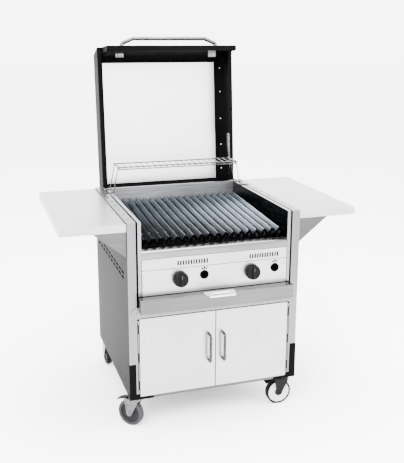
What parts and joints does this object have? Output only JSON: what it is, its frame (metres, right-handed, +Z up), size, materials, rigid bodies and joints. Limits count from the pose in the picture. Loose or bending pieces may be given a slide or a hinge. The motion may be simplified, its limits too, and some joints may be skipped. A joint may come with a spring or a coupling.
{
  "type": "gas charbroiler grill",
  "caption": "Free-standing gas charbroiler on casters with hood, V-channel grates, side shelves, drip tray and cabinet doors.",
  "frame": {"origin": "on the floor under the middle of the overall bounding box", "axes": "+X to the grill's right as seen from the front, +Y to the rear, +Z up"},
  "size_m": [1.264, 0.9758, 1.5977],
  "materials": {
    "brushed_stainless": "brushed",
    "dull_stainless": "satin",
    "hood_enamel": "satin black",
    "guard_enamel": "satin black",
    "grate_steel": "heat-tinted",
    "cast_burner": "rough",
    "brass": "machined",
    "knob_plastic": "matte",
    "chrome": "bright",
    "zinc_plate": "zinc plated",
    "caster_rubber": "matte",
    "pedal_plastic": "matte"
  },
  "bodies": {
    "cabinet": {"base_pan": "dull_stainless", "side_panel_left": "brushed_stainless", "side_panel_right": "brushed_stainless", "back_panel": "dull_stainless", "front_post_left": "brushed_stainless", "front_post_right": "brushed_stainless", "top_rail_left": "brushed_stainless", "top_rail_right": "brushed_stainless", "corner_guards": "guard_enamel", "firebox_side_left": "dull_stainless", "firebox_side_right": "dull_stainless", "firebox_back": "dull_stainless", "firebox_front": "dull_stainless", "vent_panel": "brushed_stainless", "control_panel": "brushed_stainless", "fixing_screws": "chrome", "lighting_ports": "chrome", "gas_manifold": "zinc_plate", "gas_inlet": "brass", "gas_valves": "brass", "burner_left": "cast_burner", "burner_right": "cast_burner", "grate_supports": "dull_stainless", "tray_guides": "brushed_stainless", "shelf_left": "brushed_stainless", "shelf_right": "brushed_stainless", "shelf_brackets": "brushed_stainless", "hood_hinge_brackets": "zinc_plate", "caster_plates": "zinc_plate"},
    "hood": {"hood_shell": "hood_enamel", "hood_liner": "brushed_stainless", "hood_rivets": "chrome", "hood_hinge_arms": "brushed_stainless", "hood_handle": "chrome"},
    "tray": {"drip_tray": "dull_stainless", "tray_front": "brushed_stainless", "tray_handle": "brushed_stainless"},
    "rack": {"warming_rack": "chrome"},
    "left_door": {"door_left": "brushed_stainless", "door_handle_left": "chrome"},
    "left_stem": {"valve_stem_left": "brass"},
    "left_knob": {"knob_left": "knob_plastic"},
    "left_grate": {"grate_left": "grate_steel", "drip_channels_left": "grate_steel"},
    "right_door": {"door_right": "brushed_stainless", "door_handle_right": "chrome"},
    "right_stem": {"valve_stem_right": "brass"},
    "right_knob": {"knob_right": "knob_plastic"},
    "right_grate": {"grate_right": "grate_steel", "drip_channels_right": "grate_steel"},
    "front_left_fork": {"caster_fork_front_left": "zinc_plate"},
    "front_left_wheel": {"caster_wheel_front_left": "caster_rubber"},
    "front_right_fork": {"caster_fork_front_right": "zinc_plate"},
    "front_right_wheel": {"caster_wheel_front_right": "caster_rubber"},
    "rear_left_fork": {"caster_fork_rear_left": "zinc_plate"},
    "rear_left_wheel": {"caster_wheel_rear_left": "caster_rubber"},
    "rear_right_fork": {"caster_fork_rear_right": "zinc_plate"},
    "rear_right_wheel": {"caster_wheel_rear_right": "caster_rubber"},
    "front_left_pedal": {"brake_pedal_front_left": "pedal_plastic"},
    "front_right_pedal": {"brake_pedal_front_right": "pedal_plastic"}
  },
  "joints": [
    {"name": "hood_hinge", "type": "hinge", "parent": "cabinet", "child": "hood", "pos_m": [0, 0.27465, 0.886], "axis": [1, 0, 0], "range_deg": [0, 95]},
    {"name": "tray_slide", "type": "slide", "parent": "cabinet", "child": "tray", "axis": [0, -1, 0], "range_m": [0, 0.38]},
    {"name": "left_door_hinge", "type": "hinge", "parent": "cabinet", "child": "left_door", "pos_m": [-0.331, -0.39735, 0.329], "axis": [0, 0, -1], "range_deg": [0, 110]},
    {"name": "right_door_hinge", "type": "hinge", "parent": "cabinet", "child": "right_door", "pos_m": [0.331, -0.39735, 0.329], "axis": [0, 0, 1], "range_deg": [0, 110]},
    {"name": "left_knob_press", "type": "slide", "parent": "cabinet", "child": "left_stem", "axis": [0, 1, 0], "range_m": [0, 0.004], "stiffness_N_per_m": 400, "springref_m": -0.004},
    {"name": "left_knob_turn", "type": "hinge", "parent": "left_stem", "child": "left_knob", "pos_m": [-0.156, -0.41785, 0.653], "axis": [0, -1, 0], "range_deg": [0, 270]},
    {"name": "right_knob_press", "type": "slide", "parent": "cabinet", "child": "right_stem", "axis": [0, 1, 0], "range_m": [0, 0.004], "stiffness_N_per_m": 400, "springref_m": -0.004},
    {"name": "right_knob_turn", "type": "hinge", "parent": "right_stem", "child": "right_knob", "pos_m": [0.156, -0.41785, 0.653], "axis": [0, -1, 0], "range_deg": [0, 270]},
    {"name": "left_grate_lift", "type": "slide", "parent": "cabinet", "child": "left_grate", "axis": [0, 0, -1], "range_m": [-0.05, 0]},
    {"name": "right_grate_lift", "type": "slide", "parent": "cabinet", "child": "right_grate", "axis": [0, 0, -1], "range_m": [-0.05, 0]},
    {"name": "rack_lift", "type": "slide", "parent": "cabinet", "child": "rack", "axis": [0, 0, -1], "range_m": [-0.1, 0]},
    {"name": "front_left_swivel", "type": "hinge", "parent": "cabinet", "child": "front_left_fork", "pos_m": [-0.338, -0.35285, 0.125], "axis": [0, 0, 1], "continuous": true},
    {"name": "front_left_roll", "type": "hinge", "parent": "front_left_fork", "child": "front_left_wheel", "pos_m": [-0.35497, -0.33588, 0.057], "axis": [0.7071, 0.7071, 0], "continuous": true},
    {"name": "front_left_brake", "type": "hinge", "parent": "front_left_fork", "child": "front_left_pedal", "pos_m": [-0.36628, -0.32457, 0.1195], "axis": [-0.7071, -0.7071, 0], "range_deg": [0, 12]},
    {"name": "front_right_swivel", "type": "hinge", "parent": "cabinet", "child": "front_right_fork", "pos_m": [0.338, -0.35285, 0.125], "axis": [0, 0, 1], "continuous": true},
    {"name": "front_right_roll", "type": "hinge", "parent": "front_right_fork", "child": "front_right_wheel", "pos_m": [0.314, -0.35285, 0.057], "axis": [0, 1, 0], "continuous": true},
    {"name": "front_right_brake", "type": "hinge", "parent": "front_right_fork", "child": "front_right_pedal", "pos_m": [0.298, -0.35285, 0.1195], "axis": [0, -1, 0], "range_deg": [0, 12]},
    {"name": "rear_left_swivel", "type": "hinge", "parent": "cabinet", "child": "rear_left_fork", "pos_m": [-0.338, 0.25215, 0.125], "axis": [0, 0, 1], "continuous": true},
    {"name": "rear_left_roll", "type": "hinge", "parent": "rear_left_fork", "child": "rear_left_wheel", "pos_m": [-0.338, 0.27615, 0.057], "axis": [1, 0, 0], "continuous": true},
    {"name": "rear_right_swivel", "type": "hinge", "parent": "cabinet", "child": "rear_right_fork", "pos_m": [0.338, 0.25215, 0.125], "axis": [0, 0, 1], "continuous": true},
    {"name": "rear_right_roll", "type": "hinge", "parent": "rear_right_fork", "child": "rear_right_wheel", "pos_m": [0.338, 0.27615, 0.057], "axis": [1, 0, 0], "continuous": true}
  ]
}
